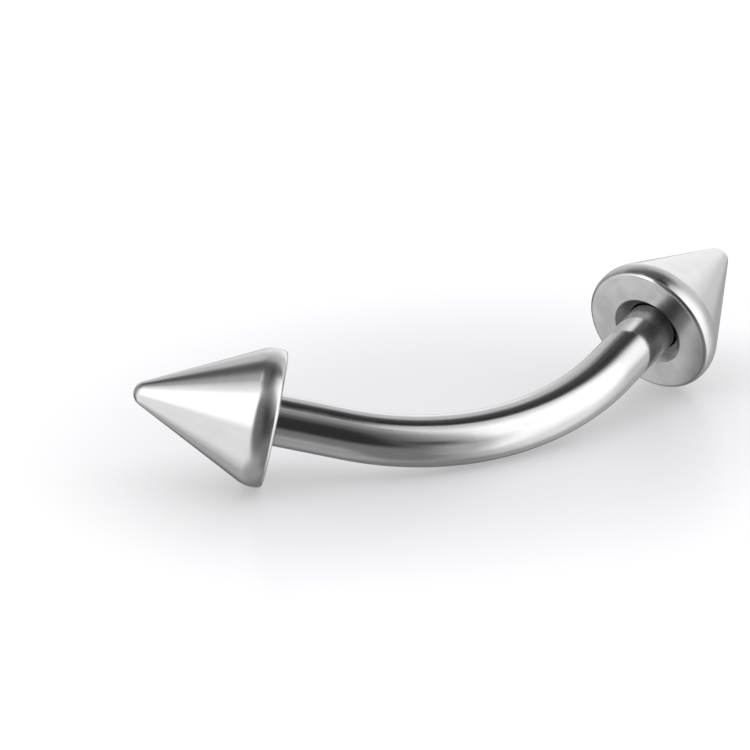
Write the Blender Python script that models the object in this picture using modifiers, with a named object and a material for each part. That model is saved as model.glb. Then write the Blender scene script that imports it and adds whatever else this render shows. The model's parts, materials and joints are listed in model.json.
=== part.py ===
"""Curved eyebrow barbell: a bent steel bar with a threaded end in each of its two cones.

The bar is bent in its own plane, with its middle at that plane's origin and its ends
bent towards +Y. The whole barbell then leans back about X until it stands by itself on
three points: the belly of the bar and the rim of each cone.
"""
import math

import bmesh
import bpy
from mathutils import Matrix, Vector

MM = 0.001

# Bar
BAR_DIAMETER = 1.2 * MM
BEND_RADIUS = 6.5 * MM
BEND_HALF_ANGLE = math.radians(31.4)
STRAIGHT_END = 1.63 * MM
SHOULDER_DEPTH = 0.25 * MM

# Threaded ends of the bar
THREAD_ROOT_DIAMETER = 0.98 * MM
THREAD_HEIGHT = 0.1 * MM
THREAD_SINK = 0.015 * MM
THREAD_PITCH = 0.25 * MM
THREAD_START = 0.3 * MM
THREAD_TURNS = 4.5
THREAD_RUN_OUT_TURNS = 0.5
STUD_LENGTH = 1.6 * MM
STUD_CHAMFER = 0.08 * MM

# Cones
CONE_DIAMETER = 3.2 * MM
CONE_LENGTH = 3.26 * MM
TIP_RADIUS = 0.3 * MM
RIM_RADIUS = 0.72 * MM
RIM_TURN_IN = math.radians(13)
BACK_CORNER_RADIUS = 0.1 * MM
COUNTERSINK_DIAMETER = 1.7 * MM
BORE_DIAMETER = 1.26 * MM
BORE_DEPTH = 1.7 * MM
DRILL_POINT_DEPTH = 0.2 * MM

# Facets
BEND_SEGMENTS = 28
BAR_BEVEL_RESOLUTION = 10
CONE_STEPS = 48
STUD_STEPS = 24
THREAD_POINTS_PER_TURN = 18
TIP_SEGMENTS = 6
RIM_SEGMENTS = 7
BACK_CORNER_SEGMENTS = 3
WELD_DISTANCE = 0.0001 * MM

STEEL_COLOUR = (0.76, 0.76, 0.77, 1.0)
STEEL_ROUGHNESS = 0.06

BAR_RADIUS = BAR_DIAMETER / 2
CONE_RADIUS = CONE_DIAMETER / 2
SIDES = {"left": -1, "right": 1}


def clear_scene():
    for item in list(bpy.data.objects):
        bpy.data.objects.remove(item, do_unlink=True)


def make_collection(name):
    collection = bpy.data.collections.new(name)
    bpy.context.scene.collection.children.link(collection)
    return collection


def steel(name):
    material = bpy.data.materials.new(name)
    material.use_nodes = True
    shader = material.node_tree.nodes["Principled BSDF"]
    shader.inputs["Base Color"].default_value = STEEL_COLOUR
    shader.inputs["Roughness"].default_value = STEEL_ROUGHNESS
    shader.inputs["Metallic"].default_value = 1.0
    return material


def add_object(name, data, collection, material=None):
    item = bpy.data.objects.new(name, data)
    collection.objects.link(item)
    if material is not None:
        data.materials.append(material)
    return item


def end_centre(side):
    """Middle of the cone's flat back, where the bar enters it, in the bend's plane."""
    reach = BEND_RADIUS * math.sin(BEND_HALF_ANGLE) + STRAIGHT_END * math.cos(BEND_HALF_ANGLE)
    rise = BEND_RADIUS * (1 - math.cos(BEND_HALF_ANGLE)) + STRAIGHT_END * math.sin(BEND_HALF_ANGLE)
    return Vector((side * reach, rise, 0))


def end_axis(side):
    """Direction in which the bar's end and its cone point."""
    return Vector((side * math.cos(BEND_HALF_ANGLE), math.sin(BEND_HALF_ANGLE), 0))


def end_frame(side):
    """Frame with its origin in the cone's flat back and +Z towards the cone's tip."""
    z = end_axis(side)
    y = Vector((0, 0, 1))
    x = y.cross(z)
    rotation = Matrix((x, y, z)).transposed().to_4x4()
    return Matrix.Translation(end_centre(side)) @ rotation


def arc(centre, radius, start, end, segments):
    """Points (radial, axial) of an arc, with angles counted from the radial direction."""
    angles = [start + (end - start) * step / segments for step in range(segments + 1)]
    return [(centre[0] + radius * math.cos(a), centre[1] + radius * math.sin(a)) for a in angles]


def cone_outline():
    """Outer profile (radial, axial) of a cone, from its tip down to its flat back.

    The rim is one rounding, from the flank over the widest ring, and turns in a little
    before the small corner at the flat back.
    """
    tip_centre = (0, CONE_LENGTH - TIP_RADIUS)
    inwards = RIM_RADIUS - BACK_CORNER_RADIUS
    rim_centre = (CONE_RADIUS - RIM_RADIUS, BACK_CORNER_RADIUS + inwards * math.sin(RIM_TURN_IN))
    back_centre = (rim_centre[0] + inwards * math.cos(RIM_TURN_IN), BACK_CORNER_RADIUS)
    between = Vector(tip_centre) - Vector(rim_centre)
    towards_tip = math.atan2(between.y, between.x)
    lean = math.acos((RIM_RADIUS - TIP_RADIUS) / between.length)
    flank_normal = towards_tip - lean
    tip = arc(tip_centre, TIP_RADIUS, math.pi / 2, flank_normal, TIP_SEGMENTS)
    tip[0] = (0, CONE_LENGTH)
    rim = arc(rim_centre, RIM_RADIUS, flank_normal, -RIM_TURN_IN, RIM_SEGMENTS)
    back = arc(back_centre, BACK_CORNER_RADIUS, -RIM_TURN_IN, -math.pi / 2, BACK_CORNER_SEGMENTS)
    return tip + rim + back[1:]


def cone_profile():
    """Whole section of a cone: its outline, then the countersink and the blind bore."""
    mouth = COUNTERSINK_DIAMETER / 2
    bore = BORE_DIAMETER / 2
    inside = [(mouth, 0), (bore, mouth - bore), (bore, BORE_DEPTH), (0, BORE_DEPTH + DRILL_POINT_DEPTH)]
    return cone_outline() + inside


def stud_profile():
    """Section of the core of a threaded end, from its free end back into the bar."""
    root = THREAD_ROOT_DIAMETER / 2
    return [
        (0, STUD_LENGTH),
        (root - STUD_CHAMFER, STUD_LENGTH),
        (root, STUD_LENGTH - STUD_CHAMFER),
        (root, -STRAIGHT_END / 2),
        (0, -STRAIGHT_END / 2),
    ]


def turned(name, profile, steps, collection, material=None):
    """Solid turned about its Z axis from a profile that runs down its outer side."""
    mesh = bpy.data.meshes.new(name)
    points = [(radial, 0, axial) for radial, axial in profile]
    mesh.from_pydata(points, [(i, i + 1) for i in range(len(points) - 1)], [])
    item = add_object(name, mesh, collection, material)
    screw = item.modifiers.new("turn", "SCREW")
    screw.axis = "Z"
    screw.steps = steps
    screw.render_steps = steps
    screw.use_merge_vertices = True
    screw.merge_threshold = WELD_DISTANCE
    screw.use_smooth_shade = False
    return item


def wire(name, points, radii, depth, resolution, collection):
    """Round or many-sided wire along a list of points, as a curve with closed ends."""
    curve = bpy.data.curves.new(name, "CURVE")
    curve.dimensions = "3D"
    curve.twist_mode = "Z_UP"
    curve.bevel_depth = depth
    curve.bevel_resolution = resolution
    curve.use_fill_caps = True
    spline = curve.splines.new("POLY")
    spline.points.add(len(points) - 1)
    for knot, point, radius in zip(spline.points, points, radii):
        knot.co = (*point, 1)
        knot.radius = radius
    return add_object(name, curve, collection)


def meshed(item, collection, material=None):
    """Closed mesh object in place of a curve object."""
    name = item.name
    bpy.context.view_layer.update()
    mesh = bpy.data.meshes.new_from_object(item.evaluated_get(bpy.context.evaluated_depsgraph_get()))
    work = bmesh.new()
    work.from_mesh(mesh)
    bmesh.ops.remove_doubles(work, verts=work.verts, dist=WELD_DISTANCE)
    bmesh.ops.recalc_face_normals(work, faces=work.faces)
    work.to_mesh(mesh)
    work.free()
    place = item.matrix_world.copy()
    curve = item.data
    bpy.data.objects.remove(item, do_unlink=True)
    bpy.data.curves.remove(curve)
    mesh.name = name
    solid = add_object(name, mesh, collection, material)
    solid.matrix_world = place
    return solid


def bar_route():
    """Centreline of the bar from shoulder to shoulder: straight, bend, straight."""
    ends = {side: end_centre(side) + end_axis(side) * SHOULDER_DEPTH for side in SIDES.values()}
    bend = []
    for step in range(BEND_SEGMENTS + 1):
        angle = BEND_HALF_ANGLE * (2 * step / BEND_SEGMENTS - 1)
        bend.append(Vector((BEND_RADIUS * math.sin(angle), BEND_RADIUS * (1 - math.cos(angle)), 0)))
    return [ends[-1]] + bend + [ends[1]]


def thread_route():
    """Points and thickness factors of the right-hand thread ridge round a stud."""
    radius = THREAD_ROOT_DIAMETER / 2 - THREAD_SINK
    count = round(THREAD_TURNS * THREAD_POINTS_PER_TURN)
    points = []
    factors = []
    for step in range(count + 1):
        turns = THREAD_TURNS * step / count
        angle = 2 * math.pi * turns
        height = THREAD_START + THREAD_PITCH * turns
        points.append((radius * math.cos(angle), radius * math.sin(angle), height))
        from_end = min(turns, THREAD_TURNS - turns) / THREAD_RUN_OUT_TURNS
        factors.append(min(1.0, 0.05 + 0.95 * from_end))
    return points, factors


def join(item, tool):
    """Union of the item with a tool body, which stays as a hidden construction body."""
    union = item.modifiers.new("join " + tool.name, "BOOLEAN")
    union.operation = "UNION"
    union.solver = "EXACT"
    union.object = tool
    tool.hide_render = True
    tool.display_type = "WIRE"


def shade(item, angle=math.radians(40)):
    item.data.shade_smooth()
    item.data.set_sharp_from_angle(angle=angle)


def make_bar(parts, construction):
    """Bent bar with a threaded stud at each end, all one solid."""
    route = bar_route()
    blank = wire("bar", route, [1.0] * len(route), BAR_RADIUS, BAR_BEVEL_RESOLUTION, parts)
    bar = meshed(blank, parts, steel("polished_steel_bar"))
    points, factors = thread_route()
    for word, side in SIDES.items():
        core = turned(word + "_stud_core", stud_profile(), STUD_STEPS, construction)
        ridge_wire = wire(word + "_thread_ridge", points, factors, THREAD_HEIGHT, 0, construction)
        ridge = meshed(ridge_wire, construction)
        for tool in (core, ridge):
            tool.matrix_world = end_frame(side)
            join(bar, tool)
    shade(bar)
    return bar


def make_cone(word, side, parts):
    """Pointed cone with a countersunk blind bore in its flat back."""
    cone = turned(word + "_cone", cone_profile(), CONE_STEPS, parts, steel("polished_steel_" + word + "_cone"))
    cone.modifiers["turn"].use_smooth_shade = True
    cone.matrix_world = end_frame(side)
    return cone


def rest_tilt():
    """Lean at which the belly of the bar and the rims of the cones touch one plane."""
    centre = end_centre(1)
    axis = end_axis(1)

    def rim_above_belly(tilt):
        rise = axis.y * math.sin(tilt)
        fall = math.sqrt(1 - rise ** 2)
        lowest = min(axial * rise - radial * fall for radial, axial in cone_outline())
        return centre.y * math.sin(tilt) + lowest + BAR_RADIUS

    low, high = 0.0, math.radians(80)
    for _ in range(60):
        middle = (low + high) / 2
        if rim_above_belly(middle) < 0:
            low = middle
        else:
            high = middle
    return (low + high) / 2


def world_corners(items):
    """Lowest and highest corner of the finished shapes in world space."""
    bpy.context.view_layer.update()
    depsgraph = bpy.context.evaluated_depsgraph_get()
    points = []
    for item in items:
        shape = item.evaluated_get(depsgraph)
        mesh = shape.to_mesh()
        points += [shape.matrix_world @ vertex.co for vertex in mesh.vertices]
        shape.to_mesh_clear()
    low = Vector([min(point[axis] for point in points) for axis in range(3)])
    high = Vector([max(point[axis] for point in points) for axis in range(3)])
    return low, high


def stand(items, construction):
    """Lean the barbell on its three resting points, with its foot centred on the origin."""
    stance = bpy.data.objects.new("stance", None)
    construction.objects.link(stance)
    for item in items + [item for item in construction.objects if item.type == "MESH"]:
        item.parent = stance
    stance.rotation_euler.x = rest_tilt()
    low, high = world_corners(items)
    stance.location = (-(low.x + high.x) / 2, -(low.y + high.y) / 2, -low.z)
    bpy.context.view_layer.update()


def main():
    clear_scene()
    parts = make_collection("curved_eyebrow_barbell")
    construction = make_collection("construction")
    items = [make_bar(parts, construction)]
    items += [make_cone(word, side, parts) for word, side in SIDES.items()]
    stand(items, construction)


main()
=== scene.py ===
"""Polished steel finish and studio for a curved eyebrow barbell with two pointed cones."""
import json
import math
from collections import namedtuple

import bmesh
import bpy
from bpy.props import FloatProperty, FloatVectorProperty, IntProperty, PointerProperty
from bpy.types import Operator, Panel, PropertyGroup
from mathutils import Matrix, Vector


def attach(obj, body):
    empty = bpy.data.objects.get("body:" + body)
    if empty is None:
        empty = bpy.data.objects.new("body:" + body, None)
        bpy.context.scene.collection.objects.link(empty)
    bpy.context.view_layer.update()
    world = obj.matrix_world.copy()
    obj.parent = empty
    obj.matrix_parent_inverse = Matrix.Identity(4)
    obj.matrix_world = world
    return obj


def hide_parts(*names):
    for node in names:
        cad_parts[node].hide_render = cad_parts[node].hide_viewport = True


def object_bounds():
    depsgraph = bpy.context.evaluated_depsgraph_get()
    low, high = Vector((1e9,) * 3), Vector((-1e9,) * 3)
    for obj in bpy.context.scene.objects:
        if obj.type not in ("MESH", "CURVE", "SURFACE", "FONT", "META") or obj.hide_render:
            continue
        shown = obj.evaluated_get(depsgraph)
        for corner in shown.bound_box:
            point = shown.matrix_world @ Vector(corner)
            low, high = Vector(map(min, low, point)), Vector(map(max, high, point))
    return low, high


bl_info = {
    "name": "Curved Eyebrow Barbell",
    "version": (1, 0, 0),
    "blender": (4, 5, 0),
    "location": "View3D > Sidebar > Barbell",
    "description": "Builds the polished bar and cones of a curved eyebrow barbell and its studio",
    "category": "Add Mesh",
}

MM = 0.001
SIDES = {"left": -1, "right": 1}
WELD = 0.00001 * MM
SHARP_ANGLE = math.radians(35)

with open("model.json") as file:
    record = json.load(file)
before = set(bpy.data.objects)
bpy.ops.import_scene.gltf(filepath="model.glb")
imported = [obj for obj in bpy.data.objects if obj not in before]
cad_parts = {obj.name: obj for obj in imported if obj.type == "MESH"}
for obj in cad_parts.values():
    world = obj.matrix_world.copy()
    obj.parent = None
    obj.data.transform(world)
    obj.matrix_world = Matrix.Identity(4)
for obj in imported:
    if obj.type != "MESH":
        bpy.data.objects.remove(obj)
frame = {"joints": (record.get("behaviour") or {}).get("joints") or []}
CAD_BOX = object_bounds()
JOINTS = {joint["child"]: joint for joint in frame["joints"]}
CONE_AXES = {word: Vector(JOINTS[word + "_cone"]["axis"]).normalized() for word in SIDES}
LEAN = math.atan2(CONE_AXES["right"].z, CONE_AXES["right"].y)
BEND_HALF_ANGLE = math.acos(CONE_AXES["right"].x)
CENTRE = (CAD_BOX[0] + CAD_BOX[1]) / 2
SHADE_CENTRE = (0, 1 * MM, 0)


def length_property(name, description, default):
    return FloatProperty(name=name, description=description, default=default, unit="LENGTH", precision=5)


def angle_property(name, description, degrees):
    return FloatProperty(name=name, description=description, default=math.radians(degrees), subtype="ANGLE")


def share_property(name, description, default):
    return FloatProperty(name=name, description=description, default=default, min=0, max=1, subtype="FACTOR")


def colour_property(name, description, default):
    return FloatVectorProperty(
        name=name, description=description, default=default, min=0, max=1, subtype="COLOR"
    )


# Facets along the cone's section and along half of the bar.
TIP_FACETS = 18
FLANK_FACETS = 24
RIM_FACETS = 24
CORNER_FACETS = 12
BACK_FACETS = 10
BORE_FACETS = 4
BEND_FACETS = 80
STRAIGHT_FACETS = 24
SHOULDER_FACETS = 4
THREAD_FACETS = 120

# Noise patterns in the steel: features in a millimetre, and levels of detail.
Pattern = namedtuple("Pattern", "per_mm detail")
PATCHES = Pattern(1.7, 3)
SPECKS = Pattern(38, 2)
WAVES = Pattern(0.9, 1)
DENTS = Pattern(4.5, 2)
CLOUDS = Pattern(1.3, 2)
LINES = Pattern(1, 3)

# Fine polishing lines: how many lie in a millimetre along and across the bar, and out from and along the
# cone's axis.
BAR_LINES = (55, 1.5, 1.5)
CONE_LINES = {"X": 3, "Y": 45}


class BarSizes(PropertyGroup):
    diameter: length_property("Diameter", "Thickness of the bar", 1.2 * MM)
    bend_radius: length_property("Bend radius", "Radius of the bend's centreline", 6.5 * MM)
    straight_end: length_property("Straight end", "Straight length between the bend and each cone", 1.63 * MM)
    shoulder_depth: length_property(
        "Shoulder depth", "How far the full thickness goes into the cone's countersink", 0.25 * MM
    )
    shoulder_chamfer: length_property("Shoulder chamfer", "Bevel where the full thickness ends", 0.05 * MM)
    root_diameter: length_property("Thread root", "Diameter at the root of the thread", 0.98 * MM)
    thread_height: length_property("Thread height", "Height of the thread's ridge", 0.085 * MM)
    thread_pitch: length_property("Thread pitch", "Distance between two turns", 0.25 * MM)
    thread_start: length_property("Thread start", "Plain neck before the thread", 0.3 * MM)
    run_out: length_property("Run-out", "Length over which the thread fades at each end", 0.12 * MM)
    stud_length: length_property("Stud length", "How far the threaded end goes into the cone", 1.6 * MM)
    stud_chamfer: length_property("Stud chamfer", "Bevel at the stud's end", 0.08 * MM)
    sides: IntProperty(name="Sides", description="Facets round the bar", default=96, min=12)


class ConeSizes(PropertyGroup):
    diameter: length_property("Diameter", "Width of the cone at its rim", 3.2 * MM)
    length: length_property("Length", "From the flat back to the tip", 3.26 * MM)
    tip_radius: length_property("Tip radius", "Rounding of the point", 0.3 * MM)
    rim_radius: length_property(
        "Rim radius", "Rounding of the rim, from the flank over the widest ring", 0.72 * MM
    )
    rim_turn_in: angle_property("Rim turn-in", "How far the rim's rounding goes on past the widest ring", 13)
    back_corner: length_property("Back corner", "Rounding between rim and flat back", 0.1 * MM)
    back_dome: length_property("Back dome", "Rise of the polished back towards the countersink", 0.015 * MM)
    countersink_diameter: length_property("Countersink", "Width of the countersink's mouth", 1.7 * MM)
    mouth_rounding: length_property("Mouth rounding", "Rounding of the countersink's edge", 0.03 * MM)
    bore_diameter: length_property("Bore", "Width of the threaded hole", 1.26 * MM)
    bore_depth: length_property("Bore depth", "Depth of the threaded hole", 1.7 * MM)
    drill_point: length_property("Drill point", "Depth of the point at the hole's end", 0.2 * MM)
    sides: IntProperty(name="Sides", description="Facets round the cone", default=160, min=24)


class SteelFinish(PropertyGroup):
    colour: colour_property("Colour", "Reflected colour of the steel", (0.83, 0.83, 0.835))
    roughness: share_property("Roughness", "Blur of the polish", 0.1)
    haze: share_property("Haze", "Extra blur where the polish is uneven", 0.08)
    patch_tone: share_property("Patch tone", "Darkening where the polish is uneven", 0.035)
    back_tone: share_property("Back tone", "Darkening of the turned flat back and bore", 0.16)
    back_haze: share_property("Back haze", "Extra blur of the turned flat back and bore", 0.1)
    cloud_tone: share_property("Cloud tone", "Further darkening by clouds on the flat back", 0.14)
    cloud_haze: share_property("Cloud haze", "Further blur by clouds on the flat back", 0.08)
    # Painted shade: the countersink is darkened further in colour, standing in for shade in the recess.
    sink_painted_shade: share_property("Countersink tone", "Further darkening in the countersink", 0.22)
    # Painted shade: one side of the flat back is darkened in colour, standing in for shade that falls there.
    painted_side_shade: share_property("Painted side shade", "Darkening of the shaded side of the flat back", 0.5)
    rim_haze: share_property("Rim haze", "Extra blur on the rim", 0.16)
    # The bar's end by each cone is darkened in colour: painted shade where the bar goes into the cone.
    end_painted_shade: share_property("End tone", "Darkening of the bar's turned ends", 0.33)
    end_haze: share_property("End haze", "Extra blur of the bar's turned ends", 0.12)
    wobble: length_property("Wobble", "Height of the waves left by polishing", 0.0012 * MM)
    ripples: length_property("Ripples", "Height of the small dents left by polishing", 0.0006 * MM)
    polishing_lines: length_property(
        "Polishing lines", "Height of the fine lines left by polishing", 0.00002 * MM
    )
    turning_rings: length_property("Turning rings", "Height of the rings on the flat back", 0.0004 * MM)
    turning_pitch: length_property("Turning pitch", "Distance between two turning rings", 0.055 * MM)


class Studio(PropertyGroup):
    azimuth: angle_property("Azimuth", "Camera's turn round the barbell", -25.0)
    elevation: angle_property("Elevation", "Camera's height above the horizon", 20.7)
    roll: angle_property("Roll", "Camera's turn about its own axis", -3.9)
    distance: length_property("Distance", "From the camera to the barbell", 222 * MM)
    field: length_property("Field width", "Width that the picture takes in", 17.1 * MM)
    aim_left: length_property("Aim left", "How far left of the barbell's middle the camera points", 2.12 * MM)
    aim_up: length_property("Aim up", "How far above the barbell's middle the camera points", 0.02 * MM)
    floor_size: length_property("Floor", "Width of the floor", 1200 * MM)
    # Painted shade: the floor's colour round the barbell is darker, standing in for its shadow.
    floor_painted_shade: colour_property("Floor colour", "Colour of the floor round the barbell", (0.42, 0.415, 0.435))
    floor_far: colour_property("Outer floor colour", "Colour of the floor further out", (0.68, 0.675, 0.69))
    floor_glow: share_property("Floor glow", "Light that the floor gives from within", 0.35)
    near_radius: length_property("Near radius", "Where the floor begins to turn lighter", 3 * MM)
    far_radius: length_property("Far radius", "Where the floor is lightest", 13.5 * MM)
    key_power: FloatProperty(
        name="Key power", description="Strength of the soft key light", default=1.5, unit="POWER"
    )
    key_azimuth: angle_property("Key azimuth", "Turn of the key light from +Y to +X", 38)
    key_elevation: angle_property("Key elevation", "Height of the key light", 75)
    key_distance: length_property("Key distance", "From the key light to the barbell", 300 * MM)
    key_size: length_property("Key size", "Width of the key light", 800 * MM)


# Soft walls of the light tent, by azimuth from +Y to +X and elevation, in degrees, with their brightness.
Card = namedtuple("Card", "azimuth half_width low high side_blur end_blur brightness")
TENT_TABLE = 0.42
TENT_WALL = 0.66
TENT_CEILING = 0.133
TENT_NADIR = 0.29
HORIZON = (-10, 10)
CEILING = (62, 72)
NADIR = (-48, -72)
TENT_CARDS = {
    "camera gap": Card(-141, 50, -40, 65, 34, 34, 0.13),
    "camera core": Card(-158.5, 13, -17, 42, 10, 26, 0.03),
    "front line": Card(180, 9, 0, 15, 10, 8, 0.09),
    "low gap": Card(-165, 24, -75, -16, 20, 20, 0.2),
    "front table": Card(166, 11, -46, -6, 18, 12, 0.44),
    "left table": Card(-77, 33, -46, 2, 16, 18, 0.87),
    "left fill": Card(-84, 18, 0, 66, 34, 34, 1.0),
    "left softbox": Card(-98, 12, 5, 61, 12, 26, 1.35),
    "left crown": Card(-46, 18, 58, 73, 20, 8, 0.7),
    "front crown": Card(171, 9, 53, 72, 10, 12, 0.26),
    "right softbox": Card(134, 23.5, -43, 54, 20, 28, 1.3),
    "right flare": Card(151, 9, 10, 36, 10, 14, 1.2),
    "right upper softbox": Card(130, 17, 62, 69, 5, 5, 0.64),
    "back wall": Card(30, 34, 18, 48, 16, 14, 0.57),
    "back window": Card(42, 21, -9, 24, 16, 16, 1.0),
    "right dimmer": Card(81, 14, -14, 8, 14, 14, 0.48),
    "back haze": Card(-26, 26, -31, 34, 16, 12, 0.32),
    "back shade": Card(-24, 30, 34, 64, 11, 14, 0.2),
    "crown shade": Card(58, 46, 50, 83, 24, 16, 0.07),
    "back crown": Card(4, 17, 43, 80, 24, 18, 0.1),
    "crown core": Card(80, 28, 63.5, 76, 14, 9, 0.03),
    "crown top": Card(110, 48, 71, 100, 16, 6, 0.03),
    "right table": Card(119, 25, -62, -17, 40, 40, 0.87),
    "back table": Card(20, 26, -80, -32, 24, 24, 0.2),
    "back slot": Card(4, 28, -34, -15, 14, 14, 0.05),
    "right nadir": Card(60, 70, -110, -70, 60, 12, 0.24),
    "left nadir": Card(-75, 60, -84, -66, 40, 12, 0.36),
}


class Value:
    """A socket in a node tree. Arithmetic on it adds Math nodes, and node() adds any other node."""

    def __init__(self, tree, socket=None):
        self.tree = tree
        self.socket = socket

    def node(self, kind, inputs=None, output=0, **settings):
        """Adds a node: its settings first, then the values or links of its sockets."""
        node = self.tree.nodes.new(kind)
        for name, value in settings.items():
            setattr(node, name, value)
        for name, value in (inputs or {}).items():
            self.feed(node.inputs[name], value)
        return Value(self.tree, node.outputs[output])

    def feed(self, target, value):
        """Links a Value to a socket, or sets the socket itself."""
        if isinstance(value, Value):
            self.tree.links.new(value.socket, target)
        else:
            target.default_value = value

    def math(self, operation, *values):
        """Adds a Math node."""
        return self.node("ShaderNodeMath", dict(enumerate(values)), operation=operation)

    def __add__(self, other):
        return self.math("ADD", self, other)

    def __sub__(self, other):
        return self.math("SUBTRACT", self, other)

    def __rsub__(self, other):
        return self.math("SUBTRACT", other, self)

    def __mul__(self, other):
        return self.math("MULTIPLY", self, other)

    __radd__ = __add__
    __rmul__ = __mul__

    def smooth(self, start, end):
        """0 up to start, 1 from end on, and a soft step between them."""
        inputs = {"Value": self, "From Min": start, "From Max": end}
        return self.node("ShaderNodeMapRange", inputs, interpolation_type="SMOOTHSTEP")

    def below(self, edge, softness):
        """1 up to the edge and 0 a little past it."""
        return 1 - self.smooth(edge, edge + softness)

    def window(self, low, high, softness):
        """1 between low and high, 0 outside, with soft edges."""
        half = softness / 2
        return self.smooth(low - half, low + half) * self.below(high - half, softness)

    def parts(self):
        """X, Y and Z of a vector."""
        separate = self.node("ShaderNodeSeparateXYZ", {0: self})
        return [Value(self.tree, output) for output in separate.socket.node.outputs]

    def blend(self, share, first, second):
        """Colour that goes from the first to the second with the share."""
        inputs = {"Factor": share, 6: first, 7: second}
        return self.node("ShaderNodeMix", inputs, output=2, data_type="RGBA")

    def noise(self, scale, detail):
        """Soft random pattern from 0 to 1."""
        return self.node("ShaderNodeTexNoise", {"Vector": self, "Scale": scale, "Detail": detail})

    def scaled(self, factors):
        """The vector with each of its parts multiplied."""
        return self.node("ShaderNodeVectorMath", {0: self, 1: factors}, operation="MULTIPLY")


# Steel in the making: what its finish is added to. Its coordinates are the piece's own, in mm.
Steel = namedtuple("Steel", "material shader maker place brightness roughness")


def stance(bar):
    """Where the bend's plane stands: leaning back on the belly of the bar."""
    radius = bar.diameter / 2
    foot = Vector((0, CAD_BOX[0].y + radius, CAD_BOX[0].z + radius))
    return Matrix.Translation(foot) @ Matrix.Rotation(LEAN, 4, "X")


def end_frame(bar, side):
    """Frame in the bend's plane with its origin in the cone's flat back and +Z towards the tip."""
    z = Vector((side * math.cos(BEND_HALF_ANGLE), math.sin(BEND_HALF_ANGLE), 0))
    bend_end = Vector((side * math.sin(BEND_HALF_ANGLE), 1 - math.cos(BEND_HALF_ANGLE), 0)) * bar.bend_radius
    y = Vector((0, 0, 1))
    rotation = Matrix((y.cross(z), y, z)).transposed().to_4x4()
    return Matrix.Translation(bend_end + z * bar.straight_end) @ rotation


def arc(centre, radius, start, end, segments):
    """Points (radial, axial) of an arc, with angles counted from the radial direction."""
    angles = [start + (end - start) * step / segments for step in range(segments + 1)]
    return [(centre[0] + radius * math.cos(a), centre[1] + radius * math.sin(a)) for a in angles]


def spread(start, end, segments):
    """Points between two points, closer together near the ends."""
    points = []
    for step in range(1, segments):
        share = (1 - math.cos(math.pi * step / segments)) / 2
        points.append(tuple(a + (b - a) * share for a, b in zip(start, end)))
    return points


def cone_profile(cone):
    """Section (radial, axial) of a cone: tip, flank, rim, flat back, countersink and bore."""
    radius = cone.diameter / 2
    mouth = cone.countersink_diameter / 2
    bore = cone.bore_diameter / 2
    lip = cone.mouth_rounding
    tip_centre = (0, cone.length - cone.tip_radius)
    inwards = cone.rim_radius - cone.back_corner
    rim_centre = (radius - cone.rim_radius, cone.back_corner + inwards * math.sin(cone.rim_turn_in))
    back_centre = (rim_centre[0] + inwards * math.cos(cone.rim_turn_in), cone.back_corner)
    between = Vector(tip_centre) - Vector(rim_centre)
    tangent_turn = math.acos((cone.rim_radius - cone.tip_radius) / between.length)
    flank_normal = math.atan2(between.y, between.x) - tangent_turn
    tip = arc(tip_centre, cone.tip_radius, math.pi / 2, flank_normal, TIP_FACETS)
    tip[0] = (0, cone.length)
    rim = arc(rim_centre, cone.rim_radius, flank_normal, -cone.rim_turn_in, RIM_FACETS)
    dome_slope = math.atan(cone.back_dome / (back_centre[0] - mouth))
    back = arc(back_centre, cone.back_corner, -cone.rim_turn_in, dome_slope - math.pi / 2, CORNER_FACETS)
    mouth_edge = arc((mouth + lip, lip - cone.back_dome), lip, -math.pi / 2, -math.pi * 3 / 4, BORE_FACETS)
    sink_end = (bore, mouth - bore)
    bore_end = (bore, cone.bore_depth)
    profile = tip + spread(tip[-1], rim[0], FLANK_FACETS) + rim + back[1:]
    profile += spread(back[-1], mouth_edge[0], BACK_FACETS) + mouth_edge
    profile += spread(mouth_edge[-1], sink_end, BORE_FACETS) + [sink_end]
    profile += spread(sink_end, bore_end, BORE_FACETS) + [bore_end, (0, cone.bore_depth + cone.drill_point)]
    return profile


def keep_own_coordinates(bm, name, measure):
    """Stores a place on each vertex before the piece is put in the frame, for patterns that follow it."""
    layer = bm.verts.layers.float_vector.new(name)
    for vertex in bm.verts:
        vertex[layer] = measure(vertex.co)


def finish_mesh(bm, name, place):
    """Object from a bmesh: doubles merged, faces turned outwards, and its place in its mesh."""
    bmesh.ops.remove_doubles(bm, verts=bm.verts, dist=WELD)
    bmesh.ops.recalc_face_normals(bm, faces=bm.faces)
    bmesh.ops.transform(bm, matrix=place, verts=bm.verts)
    mesh = bpy.data.meshes.new(name)
    bm.to_mesh(mesh)
    bm.free()
    mesh.shade_smooth()
    mesh.set_sharp_from_angle(angle=SHARP_ANGLE)
    piece = bpy.data.objects.new(name, mesh)
    bpy.context.scene.collection.objects.link(piece)
    return piece


def make_cone(name, side, cone, bar):
    """Cone turned from its section, on one end of the bar."""
    bm = bmesh.new()
    profile = [bm.verts.new((radial, 0, axial)) for radial, axial in cone_profile(cone)]
    edges = [bm.edges.new(pair) for pair in zip(profile, profile[1:])]
    bmesh.ops.spin(
        bm,
        geom=profile + edges,
        cent=(0, 0, 0),
        axis=(0, 0, 1),
        angle=math.tau,
        steps=cone.sides,
        use_merge=True,
    )
    keep_own_coordinates(bm, "turned", lambda place: place)
    return finish_mesh(bm, name, stance(bar) @ end_frame(bar, side))


def sweep(bm, ring, way, facets):
    """Extends an open ring straight along a way and gives its new end."""
    swept = bmesh.ops.spin(
        bm,
        geom=ring,
        cent=(0, 0, 0),
        axis=(0, 0, 1),
        dvec=way / facets,
        angle=0,
        steps=facets,
        use_merge=False,
    )
    return swept["geom_last"]


def narrow(bm, ring, factor, space):
    """Scales a ring across the axis of a frame."""
    verts = [item for item in ring if isinstance(item, bmesh.types.BMVert)]
    bmesh.ops.scale(bm, vec=(factor, factor, 1), space=space.inverted(), verts=verts)


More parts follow.
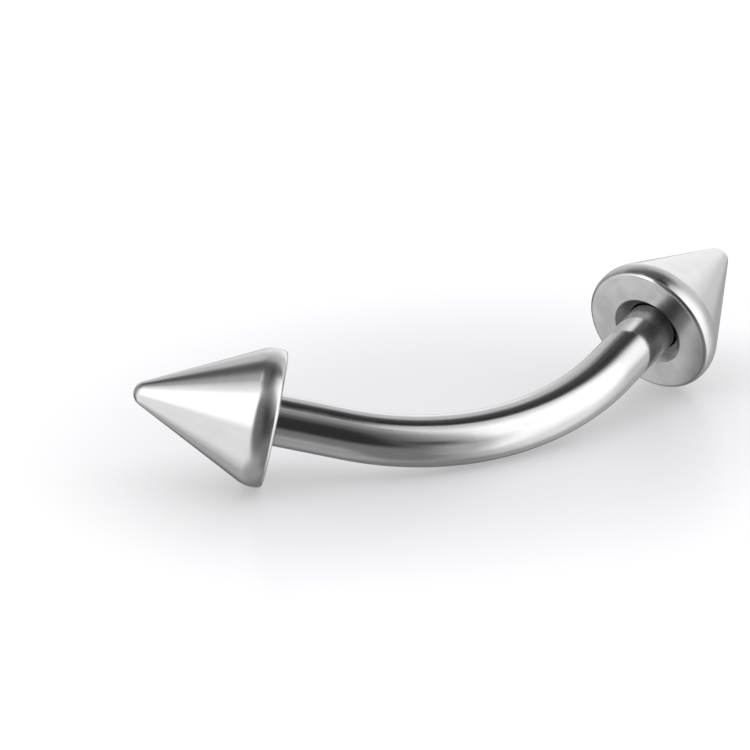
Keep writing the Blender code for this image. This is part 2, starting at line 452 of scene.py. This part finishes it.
def make_bar(name, bar):
    """Bent bar from its middle outwards: half of it is swept, mirrored, and then threaded."""
    radius = bar.diameter / 2
    root = bar.root_diameter / 2
    chamfer = bar.shoulder_chamfer
    face_rise = chamfer / 5
    space = end_frame(bar, 1)
    outwards = space.col[2].to_3d()
    bm = bmesh.new()
    across = Matrix.Rotation(math.pi / 2, 4, "Y")
    made = bmesh.ops.create_circle(bm, cap_ends=False, radius=radius, segments=bar.sides, matrix=across)
    bent = bmesh.ops.spin(
        bm,
        geom=made["verts"] + list(bm.edges),
        cent=(0, bar.bend_radius, 0),
        axis=(0, 0, 1),
        angle=BEND_HALF_ANGLE,
        steps=BEND_FACETS,
        use_merge=False,
    )
    ring = sweep(bm, bent["geom_last"], outwards * bar.straight_end, STRAIGHT_FACETS)
    ring = sweep(bm, ring, outwards * bar.shoulder_depth, SHOULDER_FACETS)
    ring = sweep(bm, ring, outwards * chamfer, 1)
    narrow(bm, ring, (radius - chamfer) / radius, space)
    ring = sweep(bm, ring, outwards * face_rise, 1)
    narrow(bm, ring, root / (radius - chamfer), space)
    thread_length = bar.stud_length - bar.stud_chamfer - bar.shoulder_depth - chamfer - face_rise
    ring = sweep(bm, ring, outwards * thread_length, THREAD_FACETS)
    ring = sweep(bm, ring, outwards * bar.stud_chamfer, 1)
    narrow(bm, ring, (root - bar.stud_chamfer) / root, space)
    bmesh.ops.holes_fill(bm, edges=[item for item in ring if isinstance(item, bmesh.types.BMEdge)], sides=0)
    bmesh.ops.mirror(bm, geom=bm.verts[:] + bm.edges[:] + bm.faces[:], axis="X", merge_dist=WELD)
    for side in SIDES.values():
        cut_thread(bm, bar, side)
    keep_own_coordinates(bm, "straightened", lambda place: straightened(place, bar))
    return finish_mesh(bm, name, stance(bar))


def thread_ridge(bar, angle, depth):
    """Height of the right-hand thread, as a share of its full height, at a depth behind the flat back."""
    turn = depth / bar.thread_pitch - angle / math.tau
    crest_cut = 1.25
    wave = crest_cut * (1 - abs(2 * (turn - math.floor(turn)) - 1))
    rise = (depth - bar.thread_start) / bar.run_out
    fall = (bar.stud_length - bar.run_out - depth) / bar.run_out
    return min(1, wave) * max(0, min(1, rise, fall))


def cut_thread(bm, bar, side):
    """Raises the thread on the root of one stud."""
    space = end_frame(bar, side)
    back = space.inverted()
    root = bar.root_diameter / 2
    close_to_root = root * 0.02
    for vertex in bm.verts:
        place = back @ vertex.co
        radial = math.hypot(place.x, place.y)
        if place.z > bar.shoulder_depth and abs(radial - root) < close_to_root:
            ridge = thread_ridge(bar, math.atan2(place.y, place.x), place.z)
            grown = 1 + bar.thread_height * ridge / radial
            vertex.co = space @ Vector((place.x * grown, place.y * grown, place.z))


def straightened(place, bar):
    """Place on the bar as if it weren't bent: along its length, and across it."""
    bend = math.atan2(place.x, bar.bend_radius - place.y)
    limited = max(-BEND_HALF_ANGLE, min(BEND_HALF_ANGLE, bend))
    inwards = Vector((-math.sin(limited), math.cos(limited), 0))
    along = Vector((math.cos(limited), math.sin(limited), 0))
    centre = Vector((math.sin(limited), 1 - math.cos(limited), 0)) * bar.bend_radius
    offset = place - centre
    return Vector((limited * bar.bend_radius + offset.dot(along), offset.dot(inwards), place.z))


def polished_steel(name, finish, attribute):
    """Steel with the polish that all pieces share, in the piece's own coordinates, which are in mm."""
    material = bpy.data.materials.new(name)
    material.use_nodes = True
    tree = material.node_tree
    shader = tree.nodes["Principled BSDF"]
    maker = Value(tree)
    own = maker.node("ShaderNodeAttribute", output="Vector", attribute_name=attribute)
    place = own.scaled((1 / MM,) * 3)
    patches = place.noise(*PATCHES).smooth(0.35, 0.7)
    specks = place.noise(*SPECKS).smooth(0.45, 0.75)
    brightness = 1 - finish.patch_tone * patches
    shader.inputs["Metallic"].default_value = 1
    roughness = finish.roughness + finish.haze * (patches * 0.6 + specks * 0.4)
    return Steel(material, shader, maker, place, brightness, roughness)


def finish_steel(steel, finish, brightness, roughness, lines, rings, ring_height):
    """Feeds the shader with a tone, a blur and the stacked relief of waves, dents, lines and rings."""
    maker = steel.maker
    toned = {0: tuple(finish.colour), "Scale": brightness}
    colour = maker.node("ShaderNodeVectorMath", toned, operation="SCALE")
    maker.feed(steel.shader.inputs["Base Color"], colour)
    maker.feed(steel.shader.inputs["Roughness"], roughness)
    normal = None
    reliefs = [
        (steel.place.noise(*WAVES), finish.wobble),
        (steel.place.noise(*DENTS), finish.ripples),
        (lines, finish.polishing_lines),
        (rings, ring_height),
    ]
    for pattern, height in reliefs:
        inputs = {"Height": pattern, "Distance": height, "Strength": 1}
        if normal:
            inputs["Normal"] = normal
        normal = maker.node("ShaderNodeBump", inputs)
    maker.feed(steel.shader.inputs["Normal"], normal)
    return steel.material


def turning_rings(maker, travel, finish):
    """Rings of a turning tool, from 0 to 1, with the tool's travel in mm."""
    return 0.5 + 0.5 * maker.math("SINE", travel * (math.tau * MM / finish.turning_pitch))


def bar_steel(finish, flat_back):
    """Steel polished round the bar, with faint lines that go round it and a turned end by each cone, darkened
    there with painted shade.
    """
    steel = polished_steel("polished_steel_bar", finish, "straightened")
    from_middle = steel.maker.math("ABSOLUTE", steel.place.parts()[0])
    at_end = from_middle.smooth(flat_back / MM - 0.12, flat_back / MM + 0.03)
    # Painted shade on the bar's end where it goes into the cone; the haze and rings there are the turned
    # finish.
    brightness = steel.brightness * (1 - finish.end_painted_shade * at_end)
    roughness = steel.roughness + at_end * finish.end_haze
    lines = steel.place.scaled(BAR_LINES).noise(*LINES)
    rings = turning_rings(steel.maker, from_middle, finish) * at_end
    return finish_steel(steel, finish, brightness, roughness, lines, rings, finish.turning_rings * 2)


def cone_steel(name, finish, cone):
    """Steel polished round the cone, with faint turning rings on its back and in its bore, and painted shade
    in its countersink and on one side of its back.
    """
    steel = polished_steel(name, finish, "turned")
    widest = cone.diameter / 2 / MM
    mouth = cone.countersink_diameter / 2 / MM
    bore = cone.bore_diameter / 2 / MM
    bore_end = (cone.bore_depth + cone.drill_point) / MM
    x, y, axial = steel.place.parts()
    radial = steel.maker.math("SQRT", x * x + y * y)
    # Zones in mm, outwards from the axis and forwards from the flat back.
    on_back = axial.below(0.004, 0.016)
    in_sink = radial.below(mouth + 0.02, 0.03) * axial.below(mouth - bore + 0.02, 0.06)
    in_bore = radial.below(bore + 0.01, 0.06) * axial.below(bore_end + 0.02, 0.06)
    turned = steel.maker.math("MAXIMUM", on_back, steel.maker.math("MAXIMUM", in_sink, in_bore))
    on_rim = radial.smooth(widest - 0.3, widest - 0.15) * axial.below(0.35, 0.25) * axial.smooth(0.06, 0.2)
    clouds = steel.place.noise(*CLOUDS).smooth(0.3, 0.7)
    # Painted shade: the flat back turns darker towards -X of the cone's own frame.
    painted_side_mask = on_back * (0 - x).smooth(mouth, widest - 0.1)
    brightness = steel.brightness * (1 - turned * (finish.back_tone + finish.cloud_tone * clouds))
    # Painted shade in the countersink and on one side of the flat back.
    brightness = brightness * (1 - finish.sink_painted_shade * in_sink) * (1 - finish.painted_side_shade * painted_side_mask)
    roughness = steel.roughness + turned * (finish.back_haze + finish.cloud_haze * clouds)
    roughness = roughness + on_rim * finish.rim_haze
    stretched = {"X": radial * CONE_LINES["X"], "Y": axial * CONE_LINES["Y"]}
    lines = steel.maker.node("ShaderNodeCombineXYZ", stretched).noise(*LINES)
    rings = turning_rings(steel.maker, radial + axial, finish) * turned
    return finish_steel(steel, finish, brightness, roughness, lines, rings, finish.turning_rings)


class BARBELL_OT_bar(Operator):
    """Builds the polished bent bar with its threaded ends"""

    bl_idname = "barbell.bar"
    bl_label = "Bar"

    def execute(self, context):
        scene = context.scene
        bar = scene.bar_sizes
        piece = make_bar("bar_polished", bar)
        flat_back = bar.bend_radius * BEND_HALF_ANGLE + bar.straight_end
        piece.data.materials.append(bar_steel(scene.steel_finish, flat_back))
        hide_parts("bar")
        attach(piece, "bar")
        return {"FINISHED"}


class BARBELL_OT_cones(Operator):
    """Builds the two polished pointed cones"""

    bl_idname = "barbell.cones"
    bl_label = "Cones"

    def execute(self, context):
        scene = context.scene
        for word, side in SIDES.items():
            node = word + "_cone"
            piece = make_cone(node + "_polished", side, scene.cone_sizes, scene.bar_sizes)
            steel = cone_steel("polished_steel_" + node, scene.steel_finish, scene.cone_sizes)
            piece.data.materials.append(steel)
            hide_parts(node)
            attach(piece, node)
        return {"FINISHED"}


class BARBELL_OT_studio(Operator):
    """Sets out the floor, the light tent, the key light and the camera"""

    bl_idname = "barbell.studio"
    bl_label = "Studio"

    def execute(self, context):
        studio = context.scene.studio
        make_floor(studio)
        make_tent()
        make_key_light(studio)
        make_camera(studio)
        context.scene.view_settings.view_transform = "Standard"
        return {"FINISHED"}


def make_floor(studio):
    """Pale floor with painted shade round the barbell, lit a little from within."""
    bm = bmesh.new()
    bmesh.ops.create_grid(bm, x_segments=1, y_segments=1, size=studio.floor_size / 2)
    bmesh.ops.translate(bm, vec=(0, 0, CAD_BOX[0].z), verts=bm.verts)
    mesh = bpy.data.meshes.new("floor")
    bm.to_mesh(mesh)
    bm.free()
    floor = bpy.data.objects.new("floor", mesh)
    bpy.context.scene.collection.objects.link(floor)
    material = bpy.data.materials.new("white_floor")
    material.use_nodes = True
    shader = material.node_tree.nodes["Principled BSDF"]
    maker = Value(material.node_tree)
    place = maker.node("ShaderNodeTexCoord", output="Object")
    inputs = {0: place, 1: SHADE_CENTRE}
    distance = maker.node("ShaderNodeVectorMath", inputs, output="Value", operation="DISTANCE")
    # Painted shade on the floor: darkest round the barbell, fading out to the outer colour.
    away = distance.smooth(studio.near_radius, studio.far_radius)
    colour = maker.blend(away, (*studio.floor_painted_shade, 1), (*studio.floor_far, 1))
    maker.feed(shader.inputs["Base Color"], colour)
    shader.inputs["Roughness"].default_value = 0.35
    shader.inputs["Specular IOR Level"].default_value = 0.3
    shader.inputs["Emission Color"].default_value = (1, 1, 1, 1)
    shader.inputs["Emission Strength"].default_value = studio.floor_glow
    mesh.materials.append(material)
    floor.visible_glossy = False


def make_tent():
    """World of soft walls round the barbell. What the camera sees past the floor is plain white."""
    world = bpy.data.worlds.new("light_tent")
    world.use_nodes = True
    tree = world.node_tree
    maker = Value(tree)
    direction = maker.node("ShaderNodeTexCoord", output="Generated")
    x, y, z = direction.parts()
    elevation = maker.math("DEGREES", maker.math("ARCSINE", z))
    brightness = TENT_TABLE + (TENT_WALL - TENT_TABLE) * elevation.smooth(*HORIZON)
    brightness = brightness + (TENT_NADIR - brightness) * (1 - elevation.smooth(NADIR[1], NADIR[0]))
    brightness = brightness + (TENT_CEILING - brightness) * elevation.smooth(*CEILING)
    for card in TENT_CARDS.values():
        turn = math.radians(card.azimuth)
        across = x * math.cos(turn) - y * math.sin(turn)
        towards = x * math.sin(turn) + y * math.cos(turn)
        azimuth = maker.math("DEGREES", maker.math("ARCTAN2", across, towards))
        mask = azimuth.window(-card.half_width, card.half_width, card.side_blur)
        mask = mask * elevation.window(card.low, card.high, card.end_blur)
        brightness = brightness + (card.brightness - brightness) * mask
    seen = maker.node("ShaderNodeLightPath", output="Is Camera Ray")
    background = tree.nodes["Background"]
    background.inputs["Color"].default_value = (1, 1, 1, 1)
    maker.feed(background.inputs["Strength"], brightness + (1 - brightness) * seen)
    bpy.context.scene.world = world


def make_key_light(studio):
    """Soft light that draws the shadow. The steel doesn't mirror it."""
    data = bpy.data.lights.new("key_light", "AREA")
    data.shape = "DISK"
    data.size = studio.key_size
    data.energy = studio.key_power
    lamp = bpy.data.objects.new("key_light", data)
    bpy.context.scene.collection.objects.link(lamp)
    a, e = studio.key_azimuth, studio.key_elevation
    towards = Vector((math.sin(a) * math.cos(e), math.cos(a) * math.cos(e), math.sin(e)))
    turn = towards.to_track_quat("Z", "Y").to_matrix().to_4x4()
    lamp.matrix_world = Matrix.Translation(CENTRE + towards * studio.key_distance) @ turn
    lamp.visible_camera = False
    lamp.visible_glossy = False


def make_camera(studio):
    """Camera at the photograph's angle."""
    data = bpy.data.cameras.new("camera")
    camera = bpy.data.objects.new("camera", data)
    bpy.context.scene.collection.objects.link(camera)
    a, e = studio.azimuth, studio.elevation
    back = Vector((math.sin(a) * math.cos(e), -math.cos(a) * math.cos(e), math.sin(e)))
    level = (-back).to_track_quat("-Z", "Y").to_matrix()
    turn = level @ Matrix.Rotation(studio.roll, 3, "Z")
    aim = CENTRE - turn.col[0] * studio.aim_left + turn.col[1] * studio.aim_up
    camera.matrix_world = Matrix.Translation(aim + back * studio.distance) @ turn.to_4x4()
    data.lens = data.sensor_width * studio.distance / studio.field
    data.clip_start = studio.distance / 100
    data.clip_end = studio.distance * 20
    bpy.context.scene.camera = camera


class BARBELL_PT_panel(Panel):
    """Lists the barbell's pieces, finish and studio"""

    bl_label = "Curved Eyebrow Barbell"
    bl_idname = "BARBELL_PT_panel"
    bl_space_type = "VIEW_3D"
    bl_region_type = "UI"
    bl_category = "Barbell"

    def draw(self, context):
        layout = self.layout
        for operator in OPERATORS:
            layout.operator(operator.bl_idname)
        for group in GROUPS:
            settings = getattr(context.scene, group)
            box = layout.box()
            for field in settings.bl_rna.properties:
                if not field.is_readonly and field.identifier != "name":
                    box.prop(settings, field.identifier)


OPERATORS = (BARBELL_OT_bar, BARBELL_OT_cones, BARBELL_OT_studio)
GROUPS = {"bar_sizes": BarSizes, "cone_sizes": ConeSizes, "steel_finish": SteelFinish, "studio": Studio}


def register():
    for item in (*GROUPS.values(), *OPERATORS, BARBELL_PT_panel):
        bpy.utils.register_class(item)
    for name, group in GROUPS.items():
        setattr(bpy.types.Scene, name, PointerProperty(type=group))


def unregister():
    for name in GROUPS:
        delattr(bpy.types.Scene, name)
    for item in (BARBELL_PT_panel, *OPERATORS, *GROUPS.values()):
        bpy.utils.unregister_class(item)


def main():
    """Builds the pieces and the studio."""
    register()
    bpy.ops.barbell.bar()
    bpy.ops.barbell.cones()
    bpy.ops.barbell.studio()


if __name__ == "__main__":
    main()
